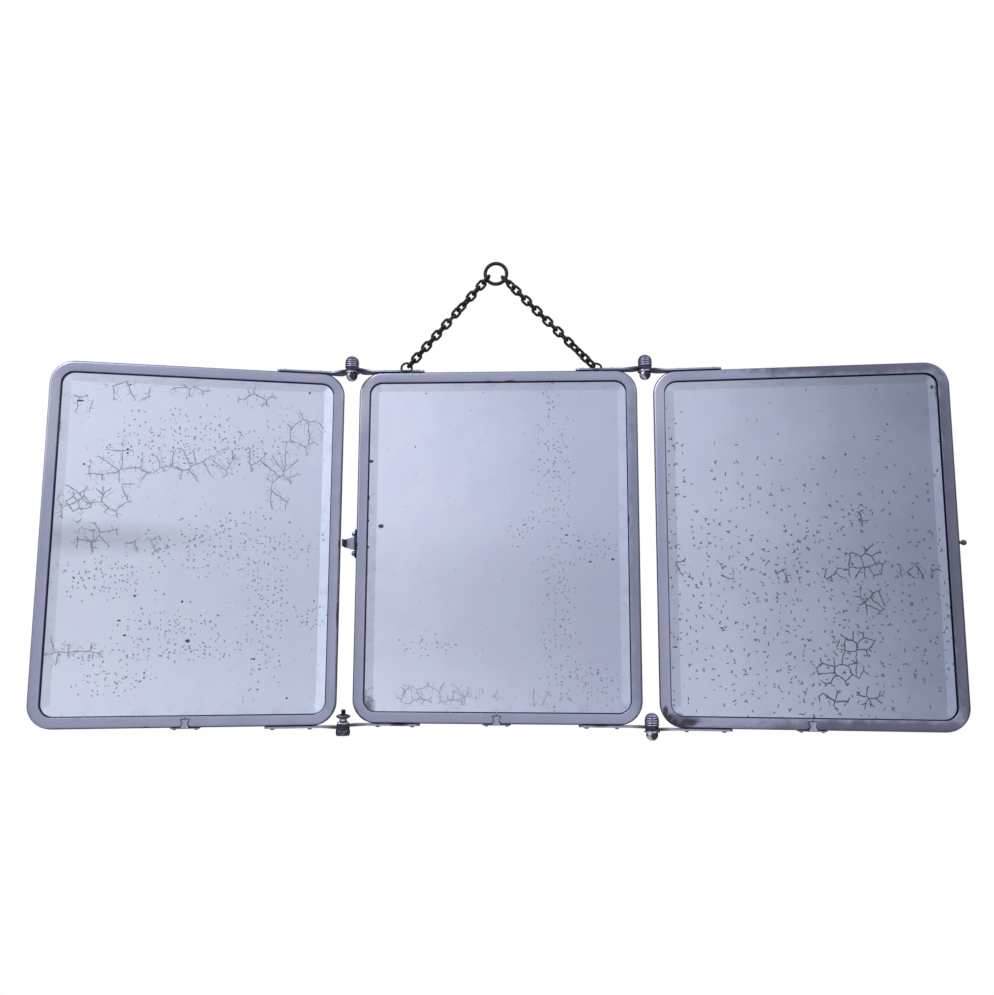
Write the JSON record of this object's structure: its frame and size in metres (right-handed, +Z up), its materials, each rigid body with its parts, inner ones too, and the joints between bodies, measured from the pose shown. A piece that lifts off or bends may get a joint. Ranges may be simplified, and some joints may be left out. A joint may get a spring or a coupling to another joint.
{
  "type": "hanging three panel mirror",
  "caption": "Hanging mirror of hinged metal-framed leaves: a centre leaf on a ring and chain, with folding wings on strap hinges, bevelled glass, a side latch and a knob.",
  "frame": {"origin": "inner top of the hanging ring, where it bears on a hook, in the plane of the ring and the chain", "axes": "+X to the viewer's right, +Y away from the viewer towards the wall, +Z up"},
  "size_m": [0.7621, 0.0681, 0.4191],
  "materials": {
    "nickel_frame": "worn satin nickel plate",
    "nickel_strap": "worn nickel plate with dark oxide in the corners",
    "bright_metal": "polished balls and collars",
    "dull_metal": "dull and lightly rusted rivets, bolts and latch",
    "silvered_glass": "bevelled plate glass, silvering speckled and crackled with age",
    "backing": "plain aged board",
    "black_wire": "blackened wire"
  },
  "bodies": {
    "hanger": {"anchor_ring_left": "black_wire", "anchor_ring_right": "black_wire", "chain_left": "black_wire", "chain_right": "black_wire", "hanging_ring": "black_wire"},
    "centre": {"centre_back_board": "backing", "centre_clip_rivet_left": "dull_metal", "centre_clip_rivet_right": "dull_metal", "centre_frame": "nickel_frame", "centre_glass": "silvered_glass", "centre_joint_clip": "nickel_strap", "centre_left_bottom_rivet_hinge": "dull_metal", "centre_left_bottom_rivet_inner": "dull_metal", "centre_left_strap_bottom": "nickel_strap", "centre_left_strap_top": "nickel_strap", "centre_left_top_rivet_hinge": "dull_metal", "centre_left_top_rivet_inner": "dull_metal", "centre_right_bottom_rivet_hinge": "dull_metal", "centre_right_bottom_rivet_inner": "dull_metal", "centre_right_strap_bottom": "nickel_strap", "centre_right_strap_top": "nickel_strap", "centre_right_top_rivet_hinge": "dull_metal", "centre_right_top_rivet_inner": "dull_metal", "latch_plate": "dull_metal", "latch_rivet_lower": "bright_metal", "latch_rivet_upper": "bright_metal", "left_bottom_flange_nut": "bright_metal", "left_bottom_hinge_stud": "dull_metal", "left_bottom_round_nut": "dull_metal", "left_top_dome_nut": "nickel_strap", "left_top_hinge_bolt": "bright_metal", "right_bottom_dome_nut": "nickel_strap", "right_bottom_hinge_bolt": "bright_metal", "right_top_dome_nut": "nickel_strap", "right_top_hinge_bolt": "bright_metal"},
    "left_wing": {"left_back_board": "backing", "left_bottom_rivet_hinge": "dull_metal", "left_bottom_rivet_inner": "dull_metal", "left_clip_rivet_left": "dull_metal", "left_clip_rivet_right": "dull_metal", "left_frame": "nickel_frame", "left_glass": "silvered_glass", "left_joint_clip": "nickel_strap", "left_strap_bottom": "nickel_strap", "left_strap_top": "nickel_strap", "left_top_rivet_hinge": "dull_metal", "left_top_rivet_inner": "dull_metal"},
    "right_wing": {"latch_knob": "bright_metal", "right_back_board": "backing", "right_bottom_rivet_hinge": "dull_metal", "right_bottom_rivet_inner": "dull_metal", "right_clip_rivet_left": "dull_metal", "right_clip_rivet_right": "dull_metal", "right_frame": "nickel_frame", "right_glass": "silvered_glass", "right_joint_clip": "nickel_strap", "right_strap_bottom": "nickel_strap", "right_strap_top": "nickel_strap", "right_top_rivet_hinge": "dull_metal", "right_top_rivet_inner": "dull_metal"}
  },
  "joints": [
    {"name": "wall_tilt", "type": "hinge", "parent": "hanger", "child": "centre", "pos_m": [0.0017, 0, -0.10035], "axis": [-1, 0, 0], "range_deg": [0, 30]},
    {"name": "left_hinge", "type": "hinge", "parent": "centre", "child": "left_wing", "pos_m": [-0.1264, -0.00965, -0.25205], "axis": [0, 0, 1], "range_deg": [-13.5, 166.5]},
    {"name": "right_hinge", "type": "hinge", "parent": "centre", "child": "right_wing", "pos_m": [0.131, -0.00405, -0.25205], "axis": [0, 0, -1], "range_deg": [-5, 175]}
  ]
}
